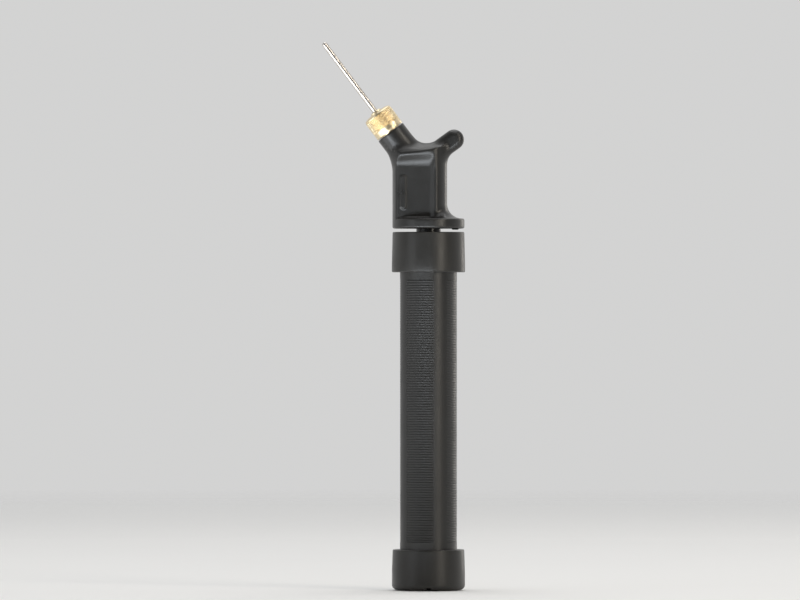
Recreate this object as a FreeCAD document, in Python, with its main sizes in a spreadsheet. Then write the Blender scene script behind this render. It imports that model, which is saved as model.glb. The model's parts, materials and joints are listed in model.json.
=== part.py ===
import FreeCAD, Part
import os
import re

import Sketcher
from FreeCAD import Rotation, Vector

# A double-action hand pump for balls. The barrel slides on a hollow piston rod that ends in an angled
# handle, and the handle carries a needle under a knurled union nut.
# Frame: origin at the middle of the barrel's flat base, +Z up the barrel, the needle leaning towards -X.
# All sizes are millimetres. The pump is drawn closed.

SIZES = {
    # barrel
    "tube_radius": 11.3,
    "tube_bore": 9.0,
    "tube_length": 134.2,
    "gasket_thickness": 1.0,
    "grip_depth": 0.15,
    "grip_margin": 3.0,
    "strip_centre": -65.0,
    "strip_angle": 31.0,
    # bottom cap
    "cap_radius": 14.5,
    "cap_draft": 0.3,
    "cap_height": 16.0,
    "cap_floor": 3.2,
    "cap_round": 2.0,
    "vent_depth": 1.0,
    "vent_width": 1.6,
    "vent_circle": 6.0,
    "inlet_radius": 0.7,
    # inlet valve, a rubber umbrella in the bottom cap
    "umbrella_gap": 1.4,
    "umbrella_thickness": 0.9,
    "umbrella_stem": 1.5,
    "umbrella_depth": 1.8,
    # collar
    "collar_radius": 14.55,
    "collar_draft": 0.3,
    "collar_height": 16.0,
    "collar_roof": 2.6,
    "collar_land": 3.0,
    "collar_round": 0.5,
    # rod guide in the collar
    "bush_flange": 1.5,
    "bush_wall": 1.6,
    "seal_height": 2.6,
    "seal_web": 1.3,
    "seal_lip": 0.9,
    "seal_lip_root": 1.2,
    "retainer_thickness": 1.4,
    "retainer_gap": 0.46,
    # piston rod and piston
    "rod_radius": 4.85,
    "rod_bore": 3.25,
    "rod_grip": 13.67,
    "piston_gap": 0.4,
    "piston_lift": 6.6,
    "piston_foot": 3.4,
    "piston_top": 3.0,
    "stem_length": 6.0,
    "ring_height": 3.0,
    "ring_depth": 1.8,
    "ring_chamfer": 0.4,
    "port_radius": 0.75,
    "port_height": 5.0,
    # delivery valve in the piston
    "ball_radius": 1.5,
    "seat_radius": 1.0,
    "seat_rise": 0.4,
    "chamber_radius": 1.95,
    "spring_wire": 0.2,
    "spring_radius": 1.2,
    "spring_turns": 4.0,
    "spool_plug": 2.0,
    "spool_flange": 1.5,
    "spool_core": 2.3,
    "spool_length": 7.5,
    "spool_bore": 0.8,
    # handle
    "handle_gap": 1.35,
    "flange_radius": 14.3,
    "flange_thickness": 4.0,
    "flange_round": 0.8,
    "lug_height": 0.45,
    "lug_width": 2.7,
    "lug_inset": 2.3,
    "column_height": 26.6,
    "column_half_depth": 8.2,
    "column_right": 7.4,
    "foot_round": 6.0,
    "foot_half_width": 4.5,
    "panel_right": 1.7,
    "panel_recess": 1.7,
    "panel_height": 21.95,
    "panel_slope": 3.9,
    "rib_left": 11.3,
    "rib_width": 2.5,
    "rib_lift": 3.65,
    "rib_height": 13.6,
    "rib_rise": 0.4,
    "passage_radius": 1.5,
    # nozzle, horn and the thumb saddle between them
    "nozzle_tilt": 37.0,
    "nozzle_cross": 14.4,
    "nozzle_length": 25.0,
    "nozzle_radius": 6.1,
    "horn_radius": 4.0,
    "horn_angle": 36.0,
    "horn_reach": 10.1,
    "horn_rise": 31.3,
    "horn_length": 16.0,
    "saddle_radius": 5.4,
    "saddle_half_width": 2.5,
    # union nut, spigot and needle, measured outwards along the nozzle's axis
    "nut_gap": 0.25,
    "nut_length": 9.25,
    "nut_radius": 6.05,
    "nut_top_radius": 4.4,
    "nut_plain": 2.6,
    "nut_knurl": 5.2,
    "nut_roof": 2.5,
    "knurl_depth": 0.25,
    "spigot_radius": 4.3,
    "spigot_length": 4.7,
    "spigot_root": 3.2,
    "spigot_root_length": 8.0,
    "needle_flange_radius": 3.7,
    "needle_flange": 1.3,
    "boss_radius": 2.3,
    "boss_length": 3.2,
    "needle_radius": 1.05,
    "shank_radius": 0.85,
    "needle_bore": 0.6,
    "needle_length": 38.6,
    "needle_port": 0.45,
    "needle_port_inset": 3.5,
    "needle_end": 2.0,
    "needle_tip_round": 0.945,
    # clearances
    "fit_gap": 0.03,
    "running_gap": 0.06,
    # how far a cutting shape reaches past the piece that it cuts, or a joining one into its neighbour
    "reach": 1.0,
}

# Heights and radii that follow from the sizes above.
DERIVED = {
    "tube_bottom": "cap_floor + gasket_thickness",
    "tube_top": "tube_bottom + tube_length",
    "roof_bottom": "tube_top + gasket_thickness",
    "collar_top": "roof_bottom + collar_roof",
    "collar_bottom": "collar_top - collar_height",
    "flange_bottom": "collar_top + handle_gap",
    "flange_top": "flange_bottom + flange_thickness",
    "bush_bottom": "roof_bottom - bush_flange",
    "seal_bottom": "bush_bottom - seal_height",
    "retainer_bottom": "seal_bottom - retainer_thickness",
    "umbrella_radius": "tube_bore - umbrella_gap",
    "piston_radius": "tube_bore - piston_gap",
    "ring_bottom": "piston_lift + piston_foot",
    "ring_top": "ring_bottom + ring_height + 2 * running_gap",
    "rod_bottom": "ring_top + piston_top",
    "rod_top": "flange_bottom + rod_grip",
    "stem_top": "rod_bottom + stem_length",
    "groove_radius": "piston_radius - ring_depth",
    "seat_bottom": "ring_bottom + seat_rise",
    "seat_top": "seat_bottom + chamber_radius - seat_radius",
    "ball_height": "seat_bottom - seat_radius + 1.41421356 * (ball_radius + fit_gap)",
    "spring_reach": "ball_radius + spring_wire + fit_gap",
    "spring_start": "ball_height + sqrt(spring_reach ^ 2 - spring_radius ^ 2)",
    "spring_rise": "spring_top - spring_wire - fit_gap - spring_start",
    "spring_top": "stem_top - spool_plug",
    "sleeve_bottom": "stem_top + spool_flange",
    "sleeve_top": "sleeve_bottom + spool_length",
    "spool_top": "sleeve_top + spool_flange",
    "port_level": "stem_top + port_height",
    "cross_level": "flange_top + nozzle_cross",
    "column_top": "flange_top + column_height",
    "horn_level": "flange_top + horn_rise",
    "needle_tip": "needle_flange_bottom + needle_length",
    "nut_top": "nut_gap + nut_length",
    "nut_roof_bottom": "nut_top - nut_roof",
    "needle_flange_bottom": "nut_roof_bottom - needle_flange",
    "boss_top": "nut_roof_bottom + boss_length",
}

PORTS = 4
KNURLS = 52
INLETS = 6
VENTS = 4
GRIP_PANELS = 4

doc = FreeCAD.newDocument("BallPump")
sheet = doc.addObject("Spreadsheet::Sheet", "Sizes")
for row, (alias, size) in enumerate(SIZES.items(), start=1):
    sheet.set(f"A{row}", alias)
    sheet.set(f"B{row}", str(size))
    sheet.setAlias(f"B{row}", alias)
doc.recompute()


def bound(formula):
    """The formula with each size written as its cell, and each derived size as its own formula."""

    def cell(match):
        word = match.group(0)
        if word in DERIVED:
            return "(" + bound(DERIVED[word]) + ")"
        if word in SIZES:
            return "Sizes." + word
        return word

    return re.sub(r"[a-z_]+", cell, str(formula))


def number(formula):
    """The formula's value with the sizes as they stand."""
    return float(sheet.evalExpression(bound(formula)))


def bind(thing, **formulas):
    """Ties properties of an object to formulas."""
    for name, formula in formulas.items():
        thing.setExpression(name, bound(formula))


def place(thing, x="0", y="0", z="0"):
    """Ties an object's position to formulas."""
    for axis, formula in zip("xyz", (x, y, z)):
        thing.setExpression("Placement.Base." + axis, bound(formula))


# --------------------------------------------------------------------------------------- Part Design helpers


def new_body(name):
    body = doc.addObject("PartDesign::Body", name)
    body.Label = name
    return body


def new_sketch(body, role, name, height=None):
    """A sketch on one of the body's own origin planes, raised if a height is given."""
    sketch = body.newObject("Sketcher::SketchObject", name)
    plane = next(feature for feature in body.Origin.OriginFeatures if feature.Role == role)
    sketch.AttachmentSupport = [(plane, "")]
    sketch.MapMode = "FlatFace"
    if height is not None:
        sketch.setExpression("AttachmentOffset.Base.z", bound(height))
    return sketch


def pin_point(sketch, edge, end, across, up):
    """Fixes one end of an edge at a pair of formulas. A zero lies on the sketch's own axis."""
    for kind, axis, formula in (("DistanceX", -2, across), ("DistanceY", -1, up)):
        if formula == "0":
            sketch.addConstraint(Sketcher.Constraint("PointOnObject", edge, end, axis))
        else:
            index = sketch.addConstraint(Sketcher.Constraint(kind, edge, end, number(formula)))
            sketch.setExpression(f"Constraints[{index}]", bound(formula))


def add_outline(sketch, corners):
    """Draws a closed outline anticlockwise through corners given as (across, up) formulas.

    A corner can go on with "round" or "hollow" and a radius: the edge after it is then an arc that bulges
    outwards or inwards.
    """
    first = sketch.GeometryCount
    points = [Vector(number(corner[0]), number(corner[1]), 0) for corner in corners]
    points.append(points[0])
    ends = []
    for index, corner in enumerate(corners):
        start, end = points[index : index + 2]
        if len(corner) == 2:
            sketch.addGeometry(Part.LineSegment(start, end), False)
            ends.append((1, 2))
            continue
        radius = number(corner[3])
        chord = end - start
        rise = radius - (radius**2 - (chord.Length / 2) ** 2) ** 0.5
        outward = Vector(chord.y, -chord.x, 0).normalize()
        side = 1 if corner[2] == "round" else -1
        sketch.addGeometry(Part.Arc(start, (start + end) / 2 + outward * rise * side, end), False)
        # the sketch stores every arc anticlockwise, so a hollow one starts at its second end
        ends.append((1, 2) if side == 1 else (2, 1))
    for index, corner in enumerate(corners):
        edge = first + index
        following = (index + 1) % len(corners)
        joined = (edge, ends[index][1], first + following, ends[following][0])
        sketch.addConstraint(Sketcher.Constraint("Coincident", *joined))
    for index, corner in enumerate(corners):
        edge = first + index
        pin_point(sketch, edge, ends[index][0], corner[0], corner[1])
        if len(corner) > 2:
            constraint = sketch.addConstraint(Sketcher.Constraint("Radius", edge, number(corner[3])))
            sketch.setExpression(f"Constraints[{constraint}]", bound(corner[3]))


def add_circle(sketch, across, up, radius):
    index = sketch.GeometryCount
    centre = Vector(number(across), number(up), 0)
    sketch.addGeometry(Part.Circle(centre, Vector(0, 0, 1), number(radius)), False)
    pin_point(sketch, index, 3, across, up)
    constraint = sketch.addConstraint(Sketcher.Constraint("Radius", index, number(radius)))
    sketch.setExpression(f"Constraints[{constraint}]", bound(radius))


def turn(body, name, corners):
    """Turns an outline, given as (radius, height) corners, a full turn about Z."""
    sketch = new_sketch(body, "XZ_Plane", name + "_outline")
    add_outline(sketch, corners)
    revolution = body.newObject("PartDesign::Revolution", name)
    revolution.Profile = sketch
    revolution.ReferenceAxis = (sketch, ["V_Axis"])
    revolution.Angle = 360.0
    body.Tip = revolution
    doc.recompute()
    return revolution


def turned(name, corners):
    """A body made by turning one outline."""
    body = new_body(name)
    turn(body, name + "_turning", corners)
    return body


def round_rings(body, rings, radius):
    """Rounds the body's circular edges at the given (radius, height) places."""
    wanted = [(number(ring), number(height)) for ring, height in rings]
    base = body.Tip
    edges = []
    for index, edge in enumerate(base.Shape.Edges, start=1):
        if not isinstance(edge.Curve, Part.Circle):
            continue
        for ring, height in wanted:
            if abs(edge.Curve.Radius - ring) < 1e-4 and abs(edge.Curve.Center.z - height) < 1e-4:
                edges.append(f"Edge{index}")
    fillet = body.newObject("PartDesign::Fillet", body.Name + "_rounding")
    fillet.Base = (base, edges)
    bind(fillet, Radius=radius)
    body.Tip = fillet
    doc.recompute()


def cut_round(body, name, sketch, length, count, reversed_cut, midplane=False):
    """Pockets a sketch and repeats it evenly about Z. The volume shows that the pocket really cuts."""
    before = body.Tip.Shape.Volume
    pocket = body.newObject("PartDesign::Pocket", name)
    pocket.Profile = sketch
    pocket.Reversed = reversed_cut
    pocket.Midplane = midplane
    bind(pocket, Length=length)
    doc.recompute()
    body.Tip = pocket
    if count > 1:
        pattern = body.newObject("PartDesign::PolarPattern", name + "_pattern")
        pattern.Originals = [pocket]
        axis = next(feature for feature in body.Origin.OriginFeatures if feature.Role == "Z_Axis")
        pattern.Axis = (axis, [""])
        pattern.Angle = 360.0
        pattern.Occurrences = count
        body.Tip = pattern
        doc.recompute()
    if body.Tip.Shape.Volume >= before - 1e-6:
        raise ValueError(name + " cuts nothing")


# -------------------------------------------------------------------------------------------- Part helpers


def cylinder(name, radius, height, **position):
    solid = doc.addObject("Part::Cylinder", name)
    bind(solid, Radius=radius, Height=height)
    place(solid, **position)
    return solid


def sphere(name, radius, **position):
    solid = doc.addObject("Part::Sphere", name)
    bind(solid, Radius=radius)
    place(solid, **position)
    return solid


def box(name, length, width, height, **position):
    solid = doc.addObject("Part::Box", name)
    bind(solid, Length=length, Width=width, Height=height)
    place(solid, **position)
    return solid


def fused(name, solids):
    union = doc.addObject("Part::MultiFuse", name)
    union.Shapes = solids
    union.Refine = True
    return union


def cut(name, base, tools):
    """Takes all the tools away from the base."""
    tool = tools[0] if len(tools) == 1 else fused(name + "_tools", tools)
    result = doc.addObject("Part::Cut", name)
    result.Base = base
    result.Tool = tool
    result.Refine = True
    return result


def lean(thing, angle):
    """Leans an upright object from +Z towards -X."""
    thing.Placement.Rotation = Rotation(Vector(0, -1, 0), number(angle))
    thing.setExpression("Placement.Rotation.Angle", bound(angle))


def on_nozzle(thing, distance="0"):
    """Stands an object on the nozzle's axis, at a distance out from the nozzle's end."""
    along = f"(nozzle_length + {distance})"
    place(thing, x=f"-{along} * sin(nozzle_tilt)", z=f"cross_level + {along} * cos(nozzle_tilt)")
    lean(thing, "nozzle_tilt")


# ------------------------------------------------------------------------------------------------- barrel


def make_barrel_tube():
    """The pump's outer tube, with four shallow panels for the grip's ribs and plain strips between them."""
    body = turned(
        "barrel_tube",
        [
            ("tube_bore", "tube_bottom"),
            ("tube_radius", "tube_bottom"),
            ("tube_radius", "tube_top"),
            ("tube_bore", "tube_top"),
        ],
    )
    panel = new_sketch(body, "XY_Plane", "grip_outline", "cap_height + grip_margin")
    first = "(strip_centre + strip_angle / 2)"
    last = "(strip_centre + 90 - strip_angle / 2)"
    floor = "(tube_radius - grip_depth)"
    beyond = "(tube_radius + 4 * reach)"
    add_outline(
        panel,
        [
            (f"{beyond} * cos{first}", f"{beyond} * sin{first}"),
            (f"{beyond} * cos{last}", f"{beyond} * sin{last}"),
            (f"{floor} * cos{last}", f"{floor} * sin{last}", "hollow", floor),
            (f"{floor} * cos{first}", f"{floor} * sin{first}"),
        ],
    )
    length = "collar_bottom - cap_height - 2 * grip_margin"
    cut_round(body, "grip_panels", panel, length, GRIP_PANELS, True)
    return body


def make_bottom_cap():
    """The moulded foot: a cup over the tube's end, whose inlet holes breathe through grooves in its base."""
    body = turned(
        "bottom_cap",
        [
            ("0", "0"),
            ("cap_radius", "0"),
            ("cap_radius", "cap_height / 2"),
            ("cap_radius - cap_draft", "cap_height"),
            ("tube_radius + fit_gap", "cap_height"),
            ("tube_radius + fit_gap", "cap_floor"),
            ("umbrella_stem + fit_gap", "cap_floor"),
            ("umbrella_stem + fit_gap", "cap_floor - umbrella_depth"),
            ("0", "cap_floor - umbrella_depth"),
        ],
    )
    round_rings(body, [("cap_radius", "0")], "cap_round")
    ring = new_sketch(body, "XY_Plane", "breather_ring")
    add_circle(ring, "0", "0", "vent_circle + vent_width / 2")
    add_circle(ring, "0", "0", "vent_circle - vent_width / 2")
    cut_round(body, "breather_groove", ring, "vent_depth", 1, True)
    vent = new_sketch(body, "XY_Plane", "vent_outline")
    half = "vent_width / 2"
    add_outline(
        vent,
        [
            ("vent_circle", f"-{half}"),
            ("cap_radius + reach", f"-{half}"),
            ("cap_radius + reach", half),
            ("vent_circle", half),
        ],
    )
    cut_round(body, "vents", vent, "vent_depth", VENTS, True)
    inlet = new_sketch(body, "XY_Plane", "inlet_outline")
    add_circle(inlet, "vent_circle", "0", "inlet_radius")
    cut_round(body, "inlets", inlet, "cap_floor + reach", INLETS, True)
    return body


def make_gasket(name, bottom):
    """A flat rubber ring under the tube's end."""
    return turned(
        name,
        [
            ("tube_bore", bottom),
            ("tube_radius", bottom),
            ("tube_radius", bottom + " + gasket_thickness"),
            ("tube_bore", bottom + " + gasket_thickness"),
        ],
    )


def make_inlet_valve():
    """A rubber umbrella that lifts off the inlet holes when the pump is pulled open."""
    stem_bottom = "cap_floor - umbrella_depth + fit_gap"
    return turned(
        "bottom_inlet_valve",
        [
            ("0", stem_bottom),
            ("umbrella_stem", stem_bottom),
            ("umbrella_stem", "cap_floor"),
            ("umbrella_radius", "cap_floor"),
            ("umbrella_radius", "cap_floor + umbrella_thickness / 2"),
            ("umbrella_stem", "cap_floor + umbrella_thickness"),
            ("0", "cap_floor + umbrella_thickness"),
        ],
    )


def make_collar():
    """The screwed cap at the barrel's upper end, which holds the rod's guide."""
    body = turned(
        "barrel_collar",
        [
            ("tube_radius + fit_gap", "collar_bottom"),
            ("collar_radius", "collar_bottom"),
            ("collar_radius", "collar_bottom + collar_land"),
            ("collar_radius - collar_draft", "collar_top"),
            ("rod_radius + bush_wall + fit_gap", "collar_top"),
            ("rod_radius + bush_wall + fit_gap", "roof_bottom"),
            ("tube_radius + fit_gap", "roof_bottom"),
        ],
    )
    round_rings(
        body,
        [("collar_radius - collar_draft", "collar_top"), ("collar_radius", "collar_bottom")],
        "collar_round",
    )
    return body


def make_rod_guide():
    """The bush that guides the rod, its lip seal and the washer that keeps the seal up."""
    turned(
        "rod_bush",
        [
            ("rod_radius + running_gap", "bush_bottom"),
            ("tube_bore - fit_gap", "bush_bottom"),
            ("tube_bore - fit_gap", "roof_bottom"),
            ("rod_radius + bush_wall", "roof_bottom"),
            ("rod_radius + bush_wall", "collar_top"),
            ("rod_radius + running_gap", "collar_top"),
        ],
    )
    turned(
        "rod_seal",
        [
            ("rod_radius + fit_gap", "seal_bottom"),
            ("rod_radius + seal_lip", "seal_bottom"),
            ("rod_radius + seal_lip_root", "bush_bottom - seal_web"),
            ("tube_bore - seal_lip_root", "bush_bottom - seal_web"),
            ("tube_bore - seal_lip", "seal_bottom"),
            ("tube_bore - fit_gap", "seal_bottom"),
            ("tube_bore - fit_gap", "bush_bottom"),
            ("rod_radius + fit_gap", "bush_bottom"),
        ],
    )
    turned(
        "seal_retainer",
        [
            ("rod_radius + retainer_gap", "retainer_bottom"),
            ("tube_bore - fit_gap", "retainer_bottom"),
            ("tube_bore - fit_gap", "seal_bottom"),
            ("rod_radius + retainer_gap", "seal_bottom"),
        ],
    )


# ------------------------------------------------------------------------------------------ rod and piston


def make_piston_rod():
    """The hollow rod that carries the compressed air up to the handle, with ports above the piston."""
    body = turned(
        "piston_rod",
        [
            ("rod_bore", "rod_bottom"),
            ("rod_radius", "rod_bottom"),
            ("rod_radius", "rod_top"),
            ("rod_bore", "rod_top"),
        ],
    )
    port = new_sketch(body, "XZ_Plane", "port_outline")
    add_circle(port, "0", "port_level", "port_radius")
    cut_round(body, "ports", port, "rod_radius + reach", PORTS, False)
    return body


def make_piston_head():
    """The piston, pushed into the rod's end, with the seat and the chamber of the delivery valve."""
    return turned(
        "piston_head",
        [
            ("seat_radius", "piston_lift"),
            ("piston_radius", "piston_lift"),
            ("piston_radius", "ring_bottom"),
            ("groove_radius", "ring_bottom"),
            ("groove_radius", "ring_top"),
            ("piston_radius", "ring_top"),
            ("piston_radius", "rod_bottom"),
            ("rod_bore - fit_gap", "rod_bottom"),
            ("rod_bore - fit_gap", "stem_top"),
            ("chamber_radius", "stem_top"),
            ("chamber_radius", "seat_top"),
            ("seat_radius", "seat_bottom"),
        ],
    )


def make_piston_seal():
    """The rubber ring between piston and barrel."""
    low = "ring_bottom + running_gap"
    high = "ring_top - running_gap"
    body = turned(
        "piston_seal_ring",
        [
            ("groove_radius + running_gap", low),
            ("tube_bore - running_gap - ring_chamfer", low),
            ("tube_bore - running_gap", low + " + ring_height / 3"),
            ("tube_bore - running_gap", high + " - ring_height / 3"),
            ("tube_bore - running_gap - ring_chamfer", high),
            ("groove_radius + running_gap", high),
        ],
    )
    return body


def make_delivery_valve():
    """The valves that let air from both chambers into the rod: a sprung ball and a rubber sleeve."""
    ball = sphere("delivery_ball", "ball_radius", z="ball_height")
    ball.Label = "delivery_ball"

    coil = new_body("delivery_spring")
    wire = new_sketch(coil, "XZ_Plane", "spring_section")
    add_circle(wire, "spring_radius", "spring_start", "spring_wire")
    helix = coil.newObject("PartDesign::AdditiveHelix", "spring_coil")
    helix.Profile = wire
    helix.ReferenceAxis = (wire, ["V_Axis"])
    helix.Mode = "pitch-height-angle"
    bind(helix, Pitch="spring_rise / spring_turns", Height="spring_rise")
    coil.Tip = helix

    body = turned(
        "valve_spool",
        [
            ("spool_bore", "spring_top"),
            ("chamber_radius - fit_gap", "spring_top"),
            ("chamber_radius - fit_gap", "stem_top"),
            ("rod_bore - fit_gap", "stem_top"),
            ("rod_bore - fit_gap", "sleeve_bottom"),
            ("spool_core", "sleeve_bottom"),
            ("spool_core", "sleeve_top"),
            ("rod_bore - fit_gap", "sleeve_top"),
            ("rod_bore - fit_gap", "spool_top"),
            ("spool_bore", "spool_top"),
        ],
    )
    notch = new_sketch(body, "XY_Plane", "notch_outline", "sleeve_top")
    add_circle(notch, "rod_bore", "0", "port_radius")
    cut_round(body, "notches", notch, "spool_flange", PORTS, True)
    turned(
        "delivery_sleeve",
        [
            ("spool_core", "sleeve_bottom"),
            ("rod_bore - fit_gap", "sleeve_bottom"),
            ("rod_bore - fit_gap", "sleeve_top"),
            ("spool_core", "sleeve_top"),
        ],
    )


# -------------------------------------------------------------------------------------------------- handle


def make_column():
    """The upright grip: round at the left like the flange, flat at front and back, crowned at the right."""
    sketch = doc.addObject("Sketcher::SketchObject", "column_section")
    left = "-sqrt(flange_radius ^ 2 - column_half_depth ^ 2)"
    crown = "column_right - panel_right"
    crown_radius = f"(({crown}) ^ 2 + column_half_depth ^ 2) / (2 * ({crown}))"
    add_outline(
        sketch,
        [
            (left, "-column_half_depth"),
            ("panel_right", "-column_half_depth", "round", crown_radius),
            ("panel_right", "column_half_depth"),
            (left, "column_half_depth", "round", "flange_radius"),
        ],
    )
    column = extruded("column_block", sketch, "column_height + flange_thickness / 2")
    place(column, z="flange_top - flange_thickness / 2")
    return column


def extruded(name, sketch, height, centred=False):
    solid = doc.addObject("Part::Extrusion", name)
    solid.Base = sketch
    solid.DirMode = "Normal"
    solid.Solid = True
    solid.Symmetric = centred
    bind(solid, LengthFwd=height)
    return solid


def make_foot_flare():
    """The concave foot that spreads from the column's right side onto the flange."""
    block = box(
        "foot_block",
        "foot_round + 2 * reach",
        "2 * foot_half_width",
        "foot_round + reach",
        x="column_right - 2 * reach",
        y="-foot_half_width",
        z="flange_top - reach",
    )
    hollow = cylinder(
        "foot_hollow",
        "foot_round",
        "2 * (foot_half_width + reach)",
        x="column_right + foot_round",
        y="foot_half_width + reach",
        z="flange_top + foot_round",
    )
    hollow.Placement.Rotation = Rotation(Vector(1, 0, 0), 90)
    return cut("foot_flare", block, [hollow])


def make_saddle():
    """The thumb saddle: an arc that touches the nozzle's upper side and the horn's."""
    # the arc's centre lies its radius off both bars, whose own radii are nozzle_radius and horn_radius
    from_nozzle = "(nozzle_radius + saddle_radius)"
    horn_height = "(horn_level - cross_level)"
    from_horn = (
        f"(horn_radius + saddle_radius - horn_reach * sin(horn_angle) + {horn_height} * cos(horn_angle))"
    )
    spread = "cos(nozzle_tilt - horn_angle)"
    x = f"(({from_nozzle} * cos(horn_angle) - {from_horn} * sin(nozzle_tilt)) / {spread})"
    z = f"(({from_horn} * cos(nozzle_tilt) + {from_nozzle} * sin(horn_angle)) / {spread} + cross_level)"
    on_nozzle_side = (f"{x} - saddle_radius * cos(nozzle_tilt)", f"{z} - saddle_radius * sin(nozzle_tilt)")
    on_horn_side = (f"{x} + saddle_radius * sin(horn_angle)", f"{z} - saddle_radius * cos(horn_angle)")
    sketch = doc.addObject("Sketcher::SketchObject", "saddle_outline")
    add_outline(
        sketch,
        [
            (on_horn_side[0], on_horn_side[1], "hollow", "saddle_radius"),
            on_nozzle_side,
            (on_nozzle_side[0], "column_top - 2 * reach"),
            (on_horn_side[0], "column_top - 2 * reach"),
        ],
    )
    sketch.Placement.Rotation = Rotation(Vector(1, 0, 0), 90)
    return extruded("saddle", sketch, "2 * saddle_half_width", centred=True)


def panel(name, front):
    """A recess in the column's front or back, open to the left, with a sloping upper wall."""
    solid = doc.addObject("Part::Wedge", name)
    floor = "column_half_depth - panel_recess"
    face = "column_half_depth + reach"
    slope = "panel_slope * (1 + reach / panel_recess)"
    bind(
        solid,
        Xmin="-(flange_radius + reach)",
        Xmax="panel_right",
        X2min="-(flange_radius + reach)",
        X2max="panel_right",
        Zmin="0",
        Z2min="0",
    )
    if front:
        bind(solid, Ymin=f"-({face})", Ymax=f"-({floor})")
        bind(solid, Zmax=f"panel_height + {slope}", Z2max="panel_height")
    else:
        bind(solid, Ymin=floor, Ymax=face)
        bind(solid, Zmax="panel_height", Z2max=f"panel_height + {slope}")
    place(solid, z="flange_top")
    return solid


def panel_rib(name, front):
    """A low upright rib in the panel's recess."""
    floor = "column_half_depth - panel_recess"
    y = f"-({floor}) - rib_rise" if front else f"{floor} - reach"
    z = "flange_top + rib_lift"
    return box(name, "rib_width", "rib_rise + reach", "rib_height", x="-rib_left", y=y, z=z)


def make_handle():
    """The handle's one-piece moulding, hollow for the rod, the air passages and the outlet spigot."""
    flange_block = cylinder("flange_block", "flange_radius", "flange_thickness", z="flange_bottom")
    doc.recompute()
    flange = doc.addObject("Part::Fillet", "flange")
    flange.Base = flange_block
    rings = [
        index
        for index, edge in enumerate(flange_block.Shape.Edges, start=1)
        if isinstance(edge.Curve, Part.Circle)
    ]
    flange.Edges = [(index, number("flange_round"), number("flange_round")) for index in rings]

    nozzle = cylinder("nozzle", "nozzle_radius", "nozzle_length", z="cross_level")
    lean(nozzle, "nozzle_tilt")
    horn = cylinder(
        "horn_bar",
        "horn_radius",
        "horn_length",
        x="horn_reach - horn_length * cos(horn_angle)",
        z="horn_level - horn_length * sin(horn_angle)",
    )
    lean(horn, "horn_angle - 90")
    tip = sphere("horn_tip", "horn_radius", x="horn_reach", z="horn_level")
    lug = box(
        "lug",
        "lug_width",
        "lug_width",
        "lug_height + reach",
        x="flange_radius - lug_inset - lug_width",
        y="-lug_width / 2",
        z="flange_bottom - lug_height",
    )
    solids = [flange, make_column(), nozzle, horn, tip, make_saddle(), lug, make_foot_flare()]
    outside = fused("handle_outside", solids)

    socket_height = "rod_top + gasket_thickness - flange_bottom + reach"
    socket = cylinder("rod_socket", "rod_radius + fit_gap", socket_height, z="flange_bottom - reach")
    riser = cylinder("riser", "passage_radius", "cross_level - rod_top", z="rod_top")
    elbow = sphere("passage_elbow", "passage_radius", z="cross_level")
    outlet = cylinder("outlet_passage", "passage_radius", "nozzle_length + reach", z="cross_level")
    lean(outlet, "nozzle_tilt")
    seat = cylinder("spigot_seat", "spigot_root + fit_gap", "spigot_root_length + fit_gap + reach")
    on_nozzle(seat, "(0 - spigot_root_length - fit_gap)")
    recesses = [panel("front_panel", True), panel("back_panel", False)]
    hollow = cut("handle_hollowed", outside, [socket, riser, elbow, outlet, seat] + recesses)
    handle = fused("handle_body", [hollow, panel_rib("front_rib", True), panel_rib("back_rib", False)])
    handle.Label = "handle_body"
    return handle


def make_outlet():
    """The brass spigot in the nozzle, its washer, and the washer under the rod's upper end."""
    spigot = turned(
        "outlet_spigot",
        [
            ("passage_radius", "-spigot_root_length"),
            ("spigot_root", "-spigot_root_length"),
            ("spigot_root", "0"),
            ("spigot_radius", "0"),
            ("spigot_radius", "spigot_length"),
            ("passage_radius", "spigot_length"),
        ],
    )
    on_nozzle(spigot)
    washer = turned(
        "outlet_washer",
        [
            ("passage_radius", "spigot_length"),
            ("needle_flange_radius", "spigot_length"),
            ("needle_flange_radius", "needle_flange_bottom"),
            ("passage_radius", "needle_flange_bottom"),
        ],
    )
    on_nozzle(washer)
    turned(
        "handle_washer",
        [
            ("rod_bore", "rod_top"),
            ("rod_radius", "rod_top"),
            ("rod_radius", "rod_top + gasket_thickness"),
            ("rod_bore", "rod_top + gasket_thickness"),
        ],
    )


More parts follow.
